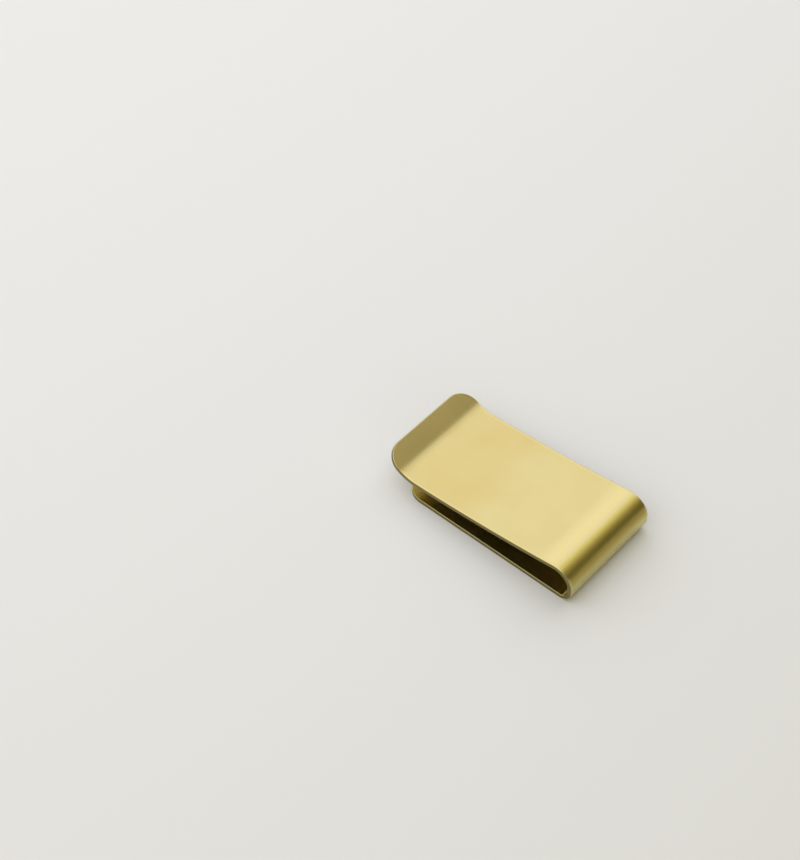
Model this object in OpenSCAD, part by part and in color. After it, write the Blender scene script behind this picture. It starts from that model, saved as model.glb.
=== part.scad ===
// Paper clip folded from one strip of sheet brass.
// The base leg lies flat. The fold stands at its +X end, and the upper leg comes back
// over it to a flared lip that leads sheets into the mouth. The clip is drawn sprung
// open by the stack of sheets that it holds. +Z is up, and Y runs across the strip.

/* [Strip] */
// Width of the strip
strip_w = 21; // [12:0.5:40]
// Thickness of the sheet
strip_t = 0.8; // [0.5:0.05:1.2]
// Radius of the four rounded corners, two at each free end
corner_r = 3.7; // [1:0.1:3.7]
// Radius that tumbling leaves along every edge
edge_r = 0.15; // [0.05:0.01:0.2]

/* [Lip] */
// Length of the flat part of the lip, its rounded corners included
lip_l = 3.8; // [3.8:0.1:8]
// Angle at which the lip rises from the direction of the base leg
lip_angle = 29; // [20:1:60]
// Inside radius of the bend between the lip and the upper leg
lip_bend_r = 7; // [1:0.5:12]

/* [Upper leg] */
// Length of the upper leg along its surface, from the lip's bend to the crest
leg_l = 29.8; // [15:0.1:60]
// Angle by which the sprung leg bows over its length
leg_bow = 5.5; // [0.5:0.1:8]
// Thickness of the stack of sheets that holds the mouth open
grip = 2.7; // [1:0.1:3.5]

/* [Fold] */
// Inside radius of the crest, where the upper leg turns down into the back
crest_bend_r = 2.8; // [1.5:0.1:5]
// Height of the straight part of the back
back_h = 0.9; // [0.5:0.1:5]
// Inside radius of the bend between the back and the base leg
base_bend_r = 1.7; // [1:0.1:4]

/* [Base leg] */
// Length of the flat base leg, its rounded corners included
base_l = 34; // [12:0.5:60]

/* [Hidden] */
$fa = 3;
$fs = 0.1;
half_t = strip_t / 2;

// The bends reach this far into the stretches between them, and their skin lies this
// much deeper, so that all the stretches lock into one solid
bend_lap = 0.01;
bend_step = 0.001;

// Bend radii at the middle of the sheet
base_r = base_bend_r + half_t;
crest_r = crest_bend_r + half_t;
lip_r = lip_bend_r + half_t;
bow_r = leg_l / (leg_bow * PI / 180);

// Slope of the upper leg at the crest, at which the lip's bend comes down to the
// stack: fall_c * cos(leg_fall) + fall_s * sin(leg_fall) = fall_sum
fall_c = crest_r + bow_r - (bow_r - lip_r) * cos(leg_bow);
fall_s = -(bow_r - lip_r) * sin(leg_bow);
fall_sum = grip + strip_t + lip_r - base_r - back_h;
leg_fall = atan2(fall_s, fall_c) + acos(fall_sum / norm([fall_c, fall_s]));

// Turns of the bends, from the base leg round the fold to the lip. Left is positive.
base_turn = 90;
crest_turn = 90 + leg_fall;
lip_turn = leg_bow - leg_fall - lip_angle;

// A station on the middle of the sheet is [x, z, heading]
function after_flat(at, len) =
    [at[0] + len * cos(at[2]), at[1] + len * sin(at[2]), at[2]];
function after_bend(at, r, turn) =
    let (side = sign(turn), out = at[2] + turn)
    [at[0] + side * r * (sin(out) - sin(at[2])),
     at[1] - side * r * (cos(out) - cos(at[2])),
     out];
function turned_back(at) = [at[0], at[1], at[2] + 180];

// Stations from the base leg's free end to the lip's free end
base_end = [0, half_t, 0];
base_foot = after_flat(base_end, base_l);
back_low = after_bend(base_foot, base_r, base_turn);
back_top = after_flat(back_low, back_h);
leg_high = after_bend(back_top, crest_r, crest_turn);
leg_low = after_bend(leg_high, bow_r, -leg_bow);
lip_low = after_bend(leg_low, lip_r, lip_turn);
lip_end = after_flat(lip_low, lip_l);

// Ends of the clip along X, before it is centred: the back's face and the lip's rim
fold_x = back_top[0] + half_t;
lip_x = lip_end[0] - (half_t - edge_r) * sin(lip_angle) - edge_r * (1 - cos(lip_angle));

// Rectangle with rounded corners, centred
module rounded_rectangle(w, h, r) {
    square([w - 2 * r, h], center = true);
    square([w, h - 2 * r], center = true);
    for (x = [-1, 1], y = [-1, 1])
        translate([x * (w / 2 - r), y * (h / 2 - r)])
            circle(r = r, $fn = 32);
}

// Section of the strip with its tumbled edges, its width along X
module section(inset = 0) {
    rounded_rectangle(strip_w - 2 * inset, strip_t - 2 * inset, edge_r - inset);
}

// Section of a rounded corner, from the corner's axis out to its tumbled rim
module corner_section() {
    intersection() {
        rounded_rectangle(2 * corner_r, strip_t, edge_r);
        translate([0, -half_t])
            square([corner_r, strip_t]);
    }
}

// Moves what starts at the origin and runs along +X to a station
module place(at) {
    translate([at[0], 0, at[1]])
        rotate([0, -at[2], 0])
            children();
}

// Straight stretch of strip along +X
module straight(len) {
    rotate([90, 0, 90])
        linear_extrude(len)
            section();
}

// Curved stretch of strip, with its radius taken at the middle of the sheet
module curved(at, r, turn, lap = 0, inset = 0) {
    side = sign(turn);
    lap_angle = lap / r * 180 / PI;
    place(at)
        translate([0, 0, side * r])
            rotate([90, 0, 0])
                rotate([0, 0, min(turn, 0) - side * 90 - lap_angle])
                    rotate_extrude(angle = abs(turn) + 2 * lap_angle)
                        translate([r, 0])
                            rotate(90)
                                section(inset);
}

// Bend made in the press, locked into the stretches on both sides
module bend(at, r, turn) {
    curved(at, r, turn, bend_lap, bend_step);
}

// Free end of the strip: a rim between two rounded corners, and the flat behind them
module flat_end(at, len) {
    place(at) {
        translate([corner_r, 0, 0])
            rotate([90, 0, 180])
                linear_extrude(strip_w - 2 * corner_r, center = true)
                    corner_section();
        for (side = [-1, 1])
            translate([corner_r, side * (strip_w / 2 - corner_r), 0])
                rotate([0, 0, 135 - side * 45])
                    rotate_extrude(angle = 90)
                        corner_section();
        translate([corner_r, 0, 0])
            straight(len - corner_r);
    }
}

// The whole folded strip, centred over the origin
module clip() {
    color([0.86, 0.77, 0.48])
        translate([-(fold_x + lip_x) / 2, 0, 0]) {
            flat_end(base_end, base_l);
            bend(base_foot, base_r, base_turn);
            place(back_low)
                straight(back_h);
            bend(back_top, crest_r, crest_turn);
            curved(leg_high, bow_r, -leg_bow, $fa = 0.25);
            bend(leg_low, lip_r, lip_turn);
            flat_end(turned_back(lip_end), lip_l);
        }
}

clip();
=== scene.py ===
"""A page clip: one strip of satin brass, folded round a notebook's cover and its pages."""

import math

import bmesh
import bpy
from mathutils import Matrix


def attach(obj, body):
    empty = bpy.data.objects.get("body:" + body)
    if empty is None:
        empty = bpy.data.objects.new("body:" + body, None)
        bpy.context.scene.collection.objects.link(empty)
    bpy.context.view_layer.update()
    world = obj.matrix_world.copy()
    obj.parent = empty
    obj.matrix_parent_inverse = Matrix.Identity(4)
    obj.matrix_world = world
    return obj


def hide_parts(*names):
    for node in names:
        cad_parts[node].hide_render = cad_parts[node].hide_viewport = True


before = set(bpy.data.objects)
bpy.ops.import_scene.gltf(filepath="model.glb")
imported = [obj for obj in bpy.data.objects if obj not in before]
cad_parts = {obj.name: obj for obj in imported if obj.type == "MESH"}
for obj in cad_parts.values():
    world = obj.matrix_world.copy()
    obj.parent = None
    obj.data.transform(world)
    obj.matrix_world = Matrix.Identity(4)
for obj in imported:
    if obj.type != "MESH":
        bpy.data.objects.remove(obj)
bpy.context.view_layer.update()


# The folded strip: one blank of half-hard brass, 0.8 mm thick, cut with rounded corners.
# Its edges are tumbled round before it is folded in three bends: the back's two, which
# spring the leg over the base, and the lip's, which lets the pages slide in.
MM = 0.001
STRIP_WIDTH = 21 * MM
STRIP_THICKNESS = 0.8 * MM
CORNER_RADIUS = 3.7 * MM
CORNER_STEPS = 16
EDGE_RADIUS = 0.15 * MM
EDGE_STEPS = 4
BASE_END_X = -15.9668 * MM
UV_PER_METRE = 10  # one unit of the UV map is 100 mm of the flat blank

# Each stretch from the base's end to the lip's: the length of the sheet's middle, the angle
# that the stretch turns through upwards and back, and the widest step of that turn.
STRETCHES = (
    ("base", 34 * MM, 0.0, 1.0),
    ("base_bend", 2.1 * MM * math.radians(90), 90.0, 2.5),
    ("back", 0.9 * MM, 0.0, 1.0),
    ("crest_bend", 3.2 * MM * math.radians(97.8797), 97.8797, 2.5),
    ("leg", 29.8 * MM, -5.5, 0.25),
    ("lip_bend", 7.4 * MM * math.radians(31.3797), -31.3797, 1.25),
    ("lip", 3.8 * MM, 0.0, 1.0),
)


def fold_lines():
    """Where each fold crosses the flat blank, measured from the base's end, and its angle."""
    lines, start = [], 0.0
    for _, length, turn, widest in STRETCHES:
        lines.append((start, 0.0))
        steps = math.ceil(abs(turn) / widest)
        for step in range(steps):
            at = start + length * (step + 0.5) / steps
            lines.append((at, math.radians(turn / steps)))
        start += length
    return lines, start


def rounded_blank(length):
    """The flat blank's middle surface, with its corners cut round."""
    bm = bmesh.new()
    bmesh.ops.create_grid(bm, x_segments=1, y_segments=1, size=0.5)
    bmesh.ops.translate(bm, verts=bm.verts, vec=(0.5, 0, 0))
    bmesh.ops.scale(bm, verts=bm.verts, vec=(length, STRIP_WIDTH, 1))
    bmesh.ops.bevel(
        bm,
        geom=bm.verts[:],
        offset=CORNER_RADIUS,
        offset_type="OFFSET",
        segments=CORNER_STEPS,
        profile=0.5,
        affect="VERTICES",
        material=-1,
    )
    return bm


lines, strip_length = fold_lines()
blank = rounded_blank(strip_length)
for at, _ in lines[1:]:
    bmesh.ops.bisect_plane(
        blank,
        geom=blank.verts[:] + blank.edges[:] + blank.faces[:],
        dist=1e-8,
        plane_co=(at, 0, 0),
        plane_no=(1, 0, 0),
    )
uv_layer = blank.loops.layers.uv.new("FlatBlank")
for face in blank.faces:
    for loop in face.loops:
        flat = loop.vert.co
        loop[uv_layer].uv = (flat.x * UV_PER_METRE, (flat.y + STRIP_WIDTH / 2) * UV_PER_METRE)

# The folds are made from the lip's end back to the base, so that each line is still flat.
along_blank = {vert: vert.co.x for vert in blank.verts}
for at, angle in reversed(lines):
    if angle:
        beyond = [vert for vert, place in along_blank.items() if place > at + 1e-7]
        bmesh.ops.rotate(
            blank, verts=beyond, cent=(at, 0, 0), matrix=Matrix.Rotation(-angle, 3, "Y")
        )
bmesh.ops.translate(blank, verts=blank.verts, vec=(BASE_END_X, 0, STRIP_THICKNESS / 2))
strip_mesh = bpy.data.meshes.new("folded_strip")
blank.to_mesh(strip_mesh)
blank.free()
strip_mesh.polygons.foreach_set("use_smooth", [True] * len(strip_mesh.polygons))
strip = bpy.data.objects.new("folded_strip", strip_mesh)
bpy.context.collection.objects.link(strip)

sheet = strip.modifiers.new("sheet", "SOLIDIFY")
sheet.thickness = STRIP_THICKNESS
sheet.offset = 0
sheet.use_even_offset = True
tumbled = strip.modifiers.new("tumbled_edges", "BEVEL")
tumbled.width = EDGE_RADIUS
tumbled.segments = EDGE_STEPS
tumbled.limit_method = "ANGLE"
tumbled.angle_limit = math.radians(40)  # the sheet's corners, but none of the folds' steps
true_faces = strip.modifiers.new("true_faces", "WEIGHTED_NORMAL")
true_faces.mode = "FACE_AREA"
true_faces.weight = 100


def linear(hex_colour):
    """An sRGB colour, written as six hex digits, as linear red, green, blue and alpha."""
    channels = [int(hex_colour[i : i + 2], 16) / 255 for i in (0, 2, 4)]
    return [c / 12.92 if c <= 0.04045 else ((c + 0.055) / 1.055) ** 2.4 for c in channels] + [1]


def add_node(tree, kind, settings=(), values=(), links=()):
    """A new node, with its settings, the values of its sockets, and what feeds them."""
    node = tree.nodes.new(kind)
    for name, value in dict(settings).items():
        setattr(node, name, value)
    for name, value in dict(values).items():
        node.inputs[name].default_value = value
    for name, source in dict(links).items():
        tree.links.new(source, node.inputs[name])
    return node


# Tumbled satin brass: CuZn37 sheet that turned in a drum of ceramic chips until it was silky, with
# no direction to its grain. The chips polish its rim smoother, and its cut sides keep the shears'
# rougher skin. Folding it roughened the crest, and handling has left soft clouds, a warmer leg and
# a few hairlines. Painted light and shade lie over these. A paler painted highlight runs along the
# rim and in a band on the leg just past the crest. Darker painted shade lies on the cut sides and
# over the crest's outer line. A yellower painted shade tone lies in the crest's dark band and on
# the back.
BRASS_PALE = "CDC288"
BRASS_WARM = "CAB778"
# painted highlight: paler along the rim
BRASS_RIM_PAINTED_HIGHLIGHT = "D2C486"
# painted highlight: a paler band on the leg just past the crest
BRASS_PAINTED_HIGHLIGHT = "D6C98D"
# painted shade tone: the back made yellower, as brass looks in shade
BRASS_BACK_PAINTED_SHADE_TONE = "CDC27E"
# painted shade tone: yellower in the crest's dark band
BRASS_PAINTED_SHADE_TONE = "CBBC65"
# painted shade: darker over the crest's outer line
BRASS_PAINTED_SHADE = "B19F54"
# painted shade: darker on the cut sides
BRASS_CUT_PAINTED_SHADE = "857C4E"
CLOUD_WIDTH = 9.0  # millimetres, as are all the sizes here
SATIN_GRAIN = 0.25  # the chips' real marks are 0.05 wide, too fine to show
SATIN_DEPTH = 0.0012
RIM_WIDTH = 0.7
CUT_FROM, CUT_WHOLE = 0.6, 0.1  # shares of the edge's radius, in from the blank's outline
DIE_MARK_LENGTH, DIE_MARK_WIDTH = 7.0, 0.3
HAIRLINE_LENGTH, HAIRLINE_WIDTH = 5.0, 0.16
HAIRLINE_SLANT = -8  # degrees off the strip's length
HAIRLINE_FROM, HAIRLINE_WHOLE = 0.76, 0.84  # of the noise: the higher, the fewer hairlines
DIE_MARK_DEPTH = 6.0  # in depths of the satin, as is the hairline's
HAIRLINE_DEPTH = -0.4
CLOUD_WARMTH, HANDLED_WARMTH = 0.45, 0.55  # shares of the way from pale to warm brass
SATIN_ROUGHNESS = 0.23
CLOUD_ROUGHNESS = 0.02  # more or less than the satin's, and so are all these
CREST_ROUGHNESS = 0.18
FLARE_ROUGHNESS = 0.06
RIM_ROUGHNESS = -0.05
CUT_ROUGHNESS = 0.12
HAIRLINE_ROUGHNESS = 0.05
blank_middle = (strip_length / MM / 2, STRIP_WIDTH / MM / 2, 0)
outline = CORNER_RADIUS / MM
edge = EDGE_RADIUS / MM
corner_middle = [half - outline for half in blank_middle[:2]] + [0]
crest_start = sum(length for _, length, _, _ in STRETCHES[:3]) / MM
crest_end = crest_start + STRETCHES[3][1] / MM
lip_start = (strip_length - STRETCHES[6][1]) / MM

brass = bpy.data.materials.new("tumbled_satin_brass")
brass.use_nodes = True
tree = brass.node_tree
tree.nodes.clear()
flat_map = add_node(tree, "ShaderNodeUVMap", {"uv_map": "FlatBlank"})
on_blank = add_node(
    tree,
    "ShaderNodeMapping",
    values={"Scale": (1 / UV_PER_METRE / MM,) * 3},
    links={"Vector": flat_map.outputs["UV"]},
)
place = on_blank.outputs["Vector"]

# How far each place reaches from the middle of its corner's circle, or from the line that
# joins two of those: the corner's radius on the blank's outline, and less further in.
from_middle = add_node(
    tree, "ShaderNodeVectorMath", {"operation": "SUBTRACT"}, {1: blank_middle}, {0: place}
)
mirrored = add_node(
    tree, "ShaderNodeVectorMath", {"operation": "ABSOLUTE"}, links={0: from_middle.outputs[0]}
)
past_corner = add_node(
    tree,
    "ShaderNodeVectorMath",
    {"operation": "SUBTRACT"},
    {1: corner_middle},
    {0: mirrored.outputs[0]},
)
outside = add_node(
    tree,
    "ShaderNodeVectorMath",
    {"operation": "MAXIMUM"},
    {1: (0, 0, 0)},
    {0: past_corner.outputs[0]},
)
round_part = add_node(
    tree, "ShaderNodeVectorMath", {"operation": "LENGTH"}, links={0: outside.outputs[0]}
)
past = add_node(tree, "ShaderNodeSeparateXYZ", links={0: past_corner.outputs[0]})
nearer = add_node(
    tree, "ShaderNodeMath", {"operation": "MAXIMUM"}, links={0: past.outputs[0], 1: past.outputs[1]}
)
straight_part = add_node(
    tree, "ShaderNodeMath", {"operation": "MINIMUM"}, {1: 0.0}, {0: nearer.outputs[0]}
)
reach = add_node(
    tree,
    "ShaderNodeMath",
    {"operation": "ADD"},
    links={0: round_part.outputs["Value"], 1: straight_part.outputs[0]},
)
# The rim mask paints a paler highlight along the outline, and also lowers the roughness where the
# chips polish it.
rim = add_node(
    tree,
    "ShaderNodeMapRange",
    {"interpolation_type": "SMOOTHSTEP"},
    {"From Min": outline - RIM_WIDTH, "From Max": outline},
    {"Value": reach.outputs[0]},
)
# The cut-side mask paints shade on the sheared sides, darker, and also makes them rougher.
cut_side = add_node(
    tree,
    "ShaderNodeMapRange",
    {"interpolation_type": "SMOOTHSTEP"},
    {"From Min": outline - CUT_FROM * edge, "From Max": outline - CUT_WHOLE * edge},
    {"Value": reach.outputs[0]},
)

# Bands right across the strip: the distance of the band's middle from the base's end, and how
# far from that middle the band is whole and where it is gone.
crest_middle = (crest_start + crest_end) / 2
BANDS = {
    "stretched": (crest_middle, 1.8, 3.3),
    # painted shade: darker over the crest's outer line
    "painted_shade": (crest_middle - 0.9, 0.3, 1.7),
    # painted highlight: a paler band on the leg just past the crest
    "painted_highlight": (crest_end + 0.7, 0.2, 3.2),
    "handled": (crest_end + 24.3, 2.0, 9.0),
    # the back: a yellower painted shade tone
    "back": (crest_start - 2.0, 2.6, 3.6),
    "flared": (lip_start - 0.6, 0.3, 1.3),
    # painted shade tone: yellower in the crest's dark band
    "painted_shade_tone": (crest_middle + 0.3, 0.9, 1.9),
}
along = add_node(tree, "ShaderNodeSeparateXYZ", links={0: place})
band = {}
for name, (middle, whole, gone) in BANDS.items():
    offset = add_node(
        tree, "ShaderNodeMath", {"operation": "SUBTRACT"}, {1: middle}, {0: along.outputs[0]}
    )
    distance = add_node(
        tree, "ShaderNodeMath", {"operation": "ABSOLUTE"}, links={0: offset.outputs[0]}
    )
    band[name] = add_node(
        tree,
        "ShaderNodeMapRange",
        {"interpolation_type": "SMOOTHSTEP"},
        {"From Min": gone, "From Max": whole},
        {"Value": distance.outputs[0]},
    )

clouds = add_node(
    tree,
    "ShaderNodeTexNoise",
    values={"Scale": 1 / CLOUD_WIDTH, "Detail": 2.0, "Roughness": 0.5},
    links={"Vector": place},
)
cloud = add_node(
    tree,
    "ShaderNodeMapRange",
    values={"From Min": 0.3, "From Max": 0.7},
    links={"Value": clouds.outputs["Fac"]},
)
satin = add_node(
    tree,
    "ShaderNodeTexNoise",
    values={"Scale": 1 / SATIN_GRAIN, "Detail": 3.0, "Roughness": 0.6},
    links={"Vector": place},
)

# Hairlines: thin streaks, slanted a little off the strip's length, where pages slide past.
slanted = add_node(
    tree,
    "ShaderNodeMapping",
    {"vector_type": "TEXTURE"},
    {
        "Rotation": (0, 0, math.radians(HAIRLINE_SLANT)),
        "Scale": (HAIRLINE_LENGTH, HAIRLINE_WIDTH, 1),
    },
    {"Vector": place},
)
streaks = add_node(
    tree,
    "ShaderNodeTexNoise",
    values={"Scale": 1.0, "Detail": 0.0},
    links={"Vector": slanted.outputs["Vector"]},
)
hairline = add_node(
    tree,
    "ShaderNodeMapRange",
    {"interpolation_type": "SMOOTHSTEP"},
    {"From Min": HAIRLINE_FROM, "From Max": HAIRLINE_WHOLE},
    {"Value": streaks.outputs["Fac"]},
)

# Die marks: fine lines along the folds, rubbed into the outside of the sheet as it was bent.
across = add_node(
    tree,
    "ShaderNodeMapping",
    {"vector_type": "TEXTURE"},
    {"Scale": (DIE_MARK_WIDTH, DIE_MARK_LENGTH, 1)},
    {"Vector": place},
)
die_lines = add_node(
    tree,
    "ShaderNodeTexNoise",
    values={"Scale": 1.0, "Detail": 1.0},
    links={"Vector": across.outputs["Vector"]},
)
die_mark = add_node(
    tree,
    "ShaderNodeMath",
    {"operation": "MULTIPLY"},
    links={0: die_lines.outputs["Fac"], 1: band["stretched"].outputs["Result"]},
)

# Colour: pale brass, warmer in the clouds and where it is handled. Over it goes each painted mark:
# the painted highlight past the crest, the back's painted shade tone, the crest's painted shade
# tone and painted shade, the rim's painted highlight and the cut sides' painted shade.
cloud_warmth = add_node(
    tree,
    "ShaderNodeMath",
    {"operation": "MULTIPLY"},
    {1: CLOUD_WARMTH},
    {0: cloud.outputs["Result"]},
)
warmth = add_node(
    tree,
    "ShaderNodeMath",
    {"operation": "MULTIPLY_ADD"},
    {1: HANDLED_WARMTH},
    {0: band["handled"].outputs["Result"], 2: cloud_warmth.outputs[0]},
)
colour = add_node(
    tree,
    "ShaderNodeMix",
    {"data_type": "RGBA"},
    {6: linear(BRASS_PALE), 7: linear(BRASS_WARM)},
    {0: warmth.outputs[0]},
)
for mask, shown in (
    (band["painted_highlight"], BRASS_PAINTED_HIGHLIGHT),
    (band["back"], BRASS_BACK_PAINTED_SHADE_TONE),
    (band["painted_shade_tone"], BRASS_PAINTED_SHADE_TONE),
    (band["painted_shade"], BRASS_PAINTED_SHADE),
    (rim, BRASS_RIM_PAINTED_HIGHLIGHT),
    (cut_side, BRASS_CUT_PAINTED_SHADE),
):
    colour = add_node(
        tree,
        "ShaderNodeMix",
        {"data_type": "RGBA"},
        {7: linear(shown)},
        {0: mask.outputs["Result"], 6: colour.outputs[2]},
    )

# Roughness and height: the satin's, with what each band and mark adds to it.
roughness = add_node(
    tree,
    "ShaderNodeMapRange",
    values={
        "To Min": SATIN_ROUGHNESS - CLOUD_ROUGHNESS,
        "To Max": SATIN_ROUGHNESS + CLOUD_ROUGHNESS,
    },
    links={"Value": cloud.outputs["Result"]},
)
for mask, more in (
    (band["stretched"], CREST_ROUGHNESS),
    (band["flared"], FLARE_ROUGHNESS),
    (rim, RIM_ROUGHNESS),
    (cut_side, CUT_ROUGHNESS),
    (hairline, HAIRLINE_ROUGHNESS),
):
    roughness = add_node(
        tree,
        "ShaderNodeMath",
        {"operation": "MULTIPLY_ADD"},
        {1: more},
        {0: mask.outputs[0], 2: roughness.outputs[0]},
    )

height = satin
for mark, depth in ((hairline, HAIRLINE_DEPTH), (die_mark, DIE_MARK_DEPTH)):
    height = add_node(
        tree,
        "ShaderNodeMath",
        {"operation": "MULTIPLY_ADD"},
        {1: depth},
        {0: mark.outputs[0], 2: height.outputs[0]},
    )
bump = add_node(
    tree,
    "ShaderNodeBump",
    values={"Strength": 1.0, "Distance": SATIN_DEPTH * MM},
    links={"Height": height.outputs[0]},
)
shader = add_node(
    tree,
    "ShaderNodeBsdfPrincipled",
    values={"Metallic": 1.0},
    links={
        "Base Color": colour.outputs[2],
        "Roughness": roughness.outputs[0],
        "Normal": bump.outputs["Normal"],
    },
)
add_node(tree, "ShaderNodeOutputMaterial", links={"Surface": shader.outputs["BSDF"]})
strip_mesh.materials.append(brass)

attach(strip, "root")
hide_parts("clip")


# The table: a plain pale sweep, whose rim curves up so that a low view still ends in it.
SWEEP_RADIUS = 1.4
SWEEP_RIM = 0.25
SWEEP_DROP = 0.01 * MM  # keeps the sweep clear of the clip's own underside
RIM_STEPS = 12
BACKDROP = "E4E6E3"
sweep = bmesh.new()
profile = [sweep.verts.new((0, 0, 0)), sweep.verts.new((SWEEP_RADIUS - SWEEP_RIM, 0, 0))]
for step in range(1, RIM_STEPS + 1):
    angle = math.radians(90 * step / RIM_STEPS)
    out = SWEEP_RADIUS - SWEEP_RIM + SWEEP_RIM * math.sin(angle)
    profile.append(sweep.verts.new((out, 0, SWEEP_RIM * (1 - math.cos(angle)))))
edges = [sweep.edges.new(pair) for pair in zip(profile, profile[1:])]
bmesh.ops.spin(
    sweep,
    geom=profile + edges,
    cent=(0, 0, 0),
    axis=(0, 0, 1),
    angle=math.tau,
    steps=96,
    use_merge=True,
)
bmesh.ops.remove_doubles(sweep, verts=sweep.verts, dist=1e-6)
bmesh.ops.recalc_face_normals(sweep, faces=sweep.faces)
bmesh.ops.translate(sweep, verts=sweep.verts, vec=(0, 0, -SWEEP_DROP))
table_mesh = bpy.data.meshes.new("table")
sweep.to_mesh(table_mesh)
sweep.free()
table_mesh.polygons.foreach_set("use_smooth", [True] * len(table_mesh.polygons))
table = bpy.data.objects.new("table", table_mesh)
bpy.context.collection.objects.link(table)
paper = bpy.data.materials.new("matt_backdrop_paper")
paper.use_nodes = True
tree = paper.node_tree
tree.nodes.clear()
matt = add_node(
    tree,
    "ShaderNodeBsdfPrincipled",
    values={"Base Color": linear(BACKDROP), "Roughness": 0.9},
)
add_node(tree, "ShaderNodeOutputMaterial", links={"Surface": matt.outputs["BSDF"]})
table_mesh.materials.append(paper)


# The light: a wide softbox in a warm room. The softbox hangs 30 cm over the clip, mostly out
# beyond its lip, and lights the leg. The folds mirror the room.
SOFTBOX_X = (-0.90, 0.1136)
SOFTBOX_Y = (-0.45, 0.60)
SOFTBOX_HEIGHT = 0.30
SOFTBOX_RADIANCE = 0.71
SOFTBOX_TINT = (1, 1, 1.2)  # cool, so that the brass under it stays pale
box_data = bpy.data.lights.new("softbox", "AREA")
box_data.shape = "RECTANGLE"
box_data.size = SOFTBOX_X[1] - SOFTBOX_X[0]
box_data.size_y = SOFTBOX_Y[1] - SOFTBOX_Y[0]
box_data.color = SOFTBOX_TINT
box_data.energy = SOFTBOX_RADIANCE * math.pi * box_data.size * box_data.size_y
softbox = bpy.data.objects.new("softbox", box_data)
softbox.location = (sum(SOFTBOX_X) / 2, sum(SOFTBOX_Y) / 2, SOFTBOX_HEIGHT)
bpy.context.collection.objects.link(softbox)

# The room is even, but for two things. Towards its dark side, which lies beyond the clip's
# back, over on its far side, it goes from warm to nearly black, and that gives the crest its
# dark band. Low down on the other sides stand pale walls, which light the edges and the back.
DARK_SIDE = (0.869, 0.495, 0)  # where the dark side lies, as a direction
ROOM_STOPS = (
    (0.0, (0.57, 0.535, 0.43, 1)),
    (0.42, (0.56, 0.505, 0.35, 1)),
    (0.60, (0.38, 0.33, 0.17, 1)),
    (0.93, (0.05, 0.035, 0.002, 1)),
)
WALL = (0.95, 0.93, 0.88, 1)
room = bpy.data.worlds.new("warm_room")
room.use_nodes = True
tree = room.node_tree
tree.nodes.clear()
sky = add_node(tree, "ShaderNodeTexCoord")
toward_dark = add_node(
    tree,
    "ShaderNodeVectorMath",
    {"operation": "DOT_PRODUCT"},
    {1: DARK_SIDE},
    {0: sky.outputs["Generated"]},
)
looking = add_node(tree, "ShaderNodeSeparateXYZ", links={0: sky.outputs["Generated"]})

# Where the dark side and the walls are: each ramp goes from 0 to 1 between two values. The
# dark side is only far, at +Y, and the walls are low down, either aside of it or near, at -Y.
RAMPS = {
    "far": (looking.outputs["Y"], -0.2, 0.2),
    "aside": (toward_dark.outputs["Value"], 0.80, 0.45),
    "near": (looking.outputs["Y"], 0.0, -0.3),
    "low": (looking.outputs["Z"], 0.60, 0.25),
}
ramp = {}
for name, (source, none, full) in RAMPS.items():
    ramp[name] = add_node(
        tree,
        "ShaderNodeMapRange",
        {"interpolation_type": "SMOOTHSTEP"},
        {"From Min": none, "From Max": full},
        {"Value": source},
    )
darkness = add_node(
    tree,
    "ShaderNodeMath",
    {"operation": "MULTIPLY"},
    links={0: toward_dark.outputs["Value"], 1: ramp["far"].outputs["Result"]},
)
shade = add_node(tree, "ShaderNodeValToRGB", links={"Fac": darkness.outputs[0]})
shade.color_ramp.interpolation = "EASE"
while len(shade.color_ramp.elements) < len(ROOM_STOPS):
    shade.color_ramp.elements.new(0.5)
for stop, (position, shown) in zip(shade.color_ramp.elements, ROOM_STOPS):
    stop.position = position
    stop.color = shown
off_dark = add_node(
    tree,
    "ShaderNodeMath",
    {"operation": "MAXIMUM"},
    links={0: ramp["aside"].outputs["Result"], 1: ramp["near"].outputs["Result"]},
)
walled = add_node(
    tree,
    "ShaderNodeMath",
    {"operation": "MULTIPLY"},
    links={0: off_dark.outputs[0], 1: ramp["low"].outputs["Result"]},
)
lit = add_node(
    tree,
    "ShaderNodeMix",
    {"data_type": "RGBA"},
    {7: WALL},
    {0: walled.outputs[0], 6: shade.outputs["Color"]},
)
background = add_node(tree, "ShaderNodeBackground", links={"Color": lit.outputs[2]})
add_node(tree, "ShaderNodeOutputWorld", links={"Surface": background.outputs["Background"]})
bpy.context.scene.world = room


# The camera: a 79 mm lens on a 36 mm frame, held about 33 cm away over the clip's near side.
LENS = 79.346
CAMERA_PLACE = (123.228 * MM, -165.511 * MM, 253.645 * MM)
CAMERA_TURN = (41.2677, 0.5413, 41.4180)  # degrees
camera_data = bpy.data.cameras.new("camera")
camera_data.sensor_width = 36
camera_data.lens = LENS
camera_data.clip_start = 0.01
camera_data.clip_end = 10
camera = bpy.data.objects.new("camera", camera_data)
camera.location = CAMERA_PLACE
camera.rotation_euler = [math.radians(turn) for turn in CAMERA_TURN]
bpy.context.collection.objects.link(camera)
bpy.context.scene.camera = camera
bpy.context.scene.view_settings.view_transform = "Standard"
